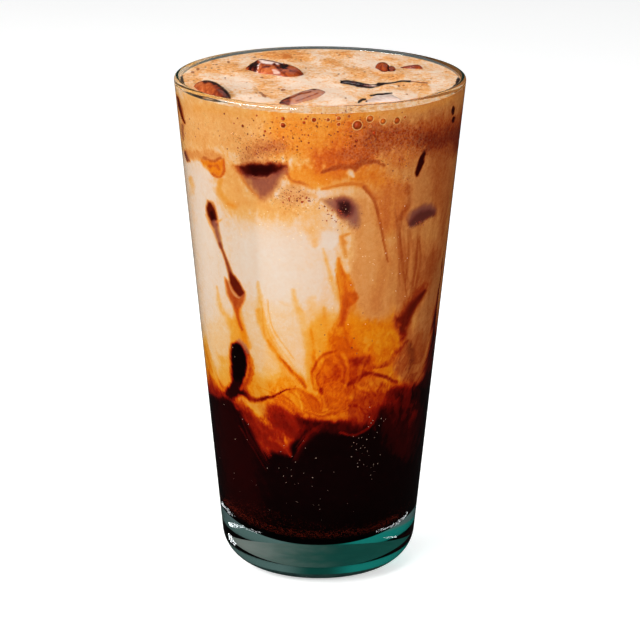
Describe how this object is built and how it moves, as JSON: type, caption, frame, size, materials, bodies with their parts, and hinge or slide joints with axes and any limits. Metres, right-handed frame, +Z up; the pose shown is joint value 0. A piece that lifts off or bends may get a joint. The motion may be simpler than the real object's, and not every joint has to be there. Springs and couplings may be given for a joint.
{
  "type": "iced shaken espresso in a tapered glass",
  "caption": "Tall tapered tumbler with a thick rounded base, filled with layered black coffee, milk and foam, with ice breaking the foam.",
  "frame": {"origin": "centre of the foot's flat underside", "axes": "+Z up along the glass's axis; -Y is the front that the picture shows; +X is right as seen from the front"},
  "size_m": [0.086, 0.086, 0.152],
  "materials": {
    "glass": "clear, with a teal cast in the thick base",
    "coffee": "black coffee, glossy against the glass",
    "milk": "milk with coffee swirled through it",
    "foam": "coffee foam with fine bubbles",
    "ice": "wet ice tinted by coffee"
  },
  "bodies": {
    "root": {"glass": "glass", "coffee": "coffee", "milk": "milk", "foam": "foam", "ice_ridge": "ice", "ice_wedge": "ice", "ice_slope": "ice", "ice_lobes": "ice", "ice_flat": "ice", "ice_slab": "ice", "ice_clear": "ice"}
  },
  "joints": []
}
